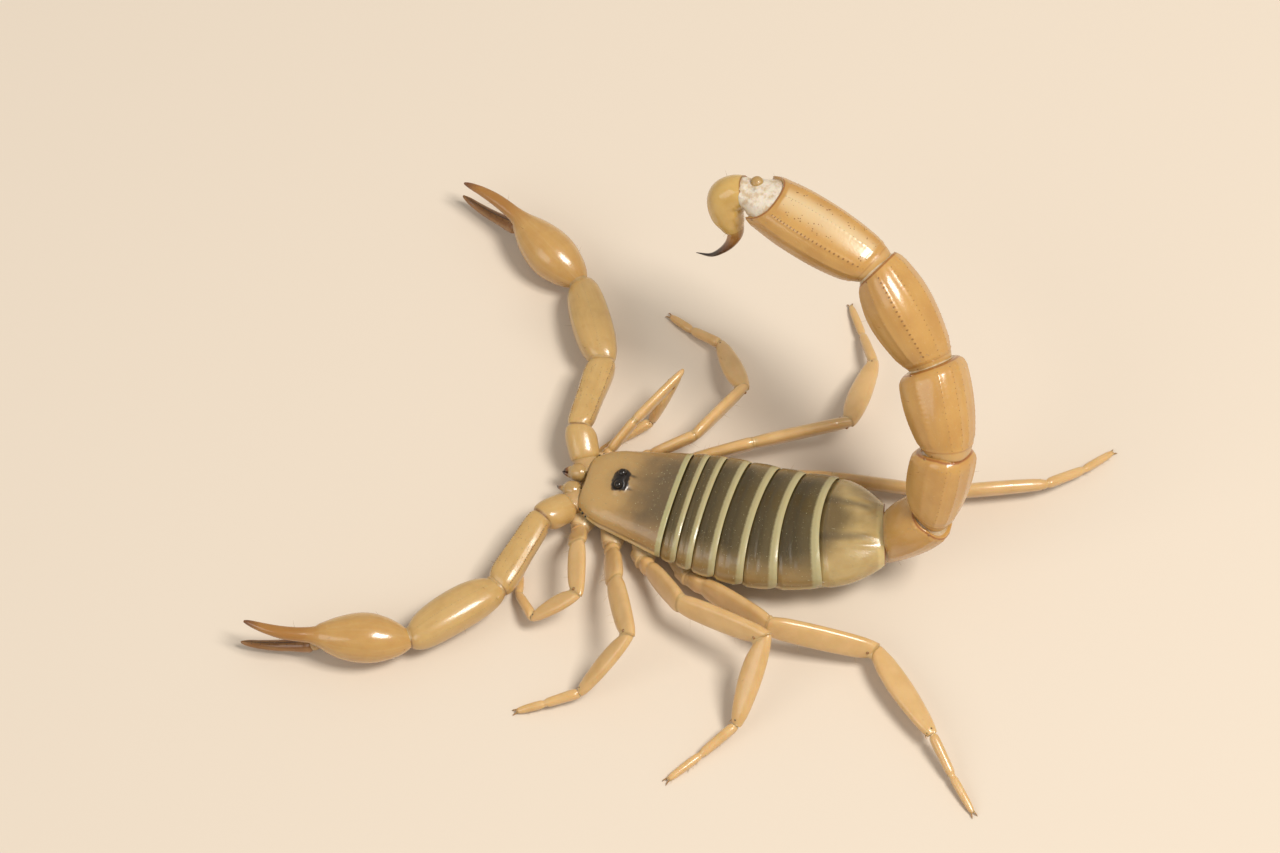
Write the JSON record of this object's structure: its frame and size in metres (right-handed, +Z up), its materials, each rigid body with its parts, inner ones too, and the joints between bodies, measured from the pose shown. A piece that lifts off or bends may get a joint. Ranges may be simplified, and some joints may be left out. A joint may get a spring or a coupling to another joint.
{
  "type": "desert scorpion",
  "caption": "Life-size still model of a pale desert scorpion, standing with open claws held forward and the tail arched up over the rear.",
  "frame": {"origin": "centre of the model's footprint, on the floor that its feet stand on", "axes": "-Y the way the animal faces, +X its left, +Z up; the feet stand at z = 0"},
  "size_m": [0.0322, 0.0428, 0.0189],
  "materials": {
    "head_shield": "thin glossy shell, translucent straw in front and grey-olive behind the eyes, finely granular",
    "back_plate": "glossy dark olive shell with pale greenish rear bands",
    "last_back_plate": "glossy straw shell with a dark patch in front",
    "eye": "black glass-like lens",
    "jaw": "glossy amber shell with dark finger tips",
    "comb": "soft pale comb",
    "underside": "pale straw shell and soft side skin",
    "arm": "glossy tan shell with fine granular keels",
    "claw_finger": "glossy brown shell, darker at the tip",
    "leg": "pale translucent straw shell",
    "tail": "tan shell with dark dotted keels",
    "bulb": "glossy yellow-tan shell, brown on the sting",
    "sting": "glossy dark brown horn"
  },
  "bodies": {
    "root": {"belly": "underside", "carapace": "head_shield", "chelicera_left": "jaw", "chelicera_right": "jaw", "coxae": "underside", "eye_median_left": "eye", "eye_median_right": "eye", "leg_left_1_femur": "leg", "leg_left_1_foot": "leg", "leg_left_1_patella": "leg", "leg_left_2_femur": "leg", "leg_left_2_foot": "leg", "leg_left_2_patella": "leg", "leg_left_3_femur": "leg", "leg_left_3_foot": "leg", "leg_left_3_patella": "leg", "leg_left_4_femur": "leg", "leg_left_4_foot": "leg", "leg_left_4_patella": "leg", "leg_right_1_femur": "leg", "leg_right_1_foot": "leg", "leg_right_1_patella": "leg", "leg_right_2_femur": "leg", "leg_right_2_foot": "leg", "leg_right_2_patella": "leg", "leg_right_3_femur": "leg", "leg_right_3_foot": "leg", "leg_right_3_patella": "leg", "leg_right_4_femur": "leg", "leg_right_4_foot": "leg", "leg_right_4_patella": "leg", "pectine_left": "comb", "pectine_right": "comb", "pedipalp_left_femur": "arm", "pedipalp_left_finger": "claw_finger", "pedipalp_left_hand": "arm", "pedipalp_left_patella": "arm", "pedipalp_left_trochanter": "arm", "pedipalp_right_femur": "arm", "pedipalp_right_finger": "claw_finger", "pedipalp_right_hand": "arm", "pedipalp_right_patella": "arm", "pedipalp_right_trochanter": "arm", "tail_1": "tail", "tail_2": "tail", "tail_3": "tail", "tail_4": "tail", "tail_5": "tail", "telson_bulb": "bulb", "telson_sting": "sting", "tergite_1": "back_plate", "tergite_2": "back_plate", "tergite_3": "back_plate", "tergite_4": "back_plate", "tergite_5": "back_plate", "tergite_6": "back_plate", "tergite_7": "last_back_plate"}
  },
  "joints": []
}
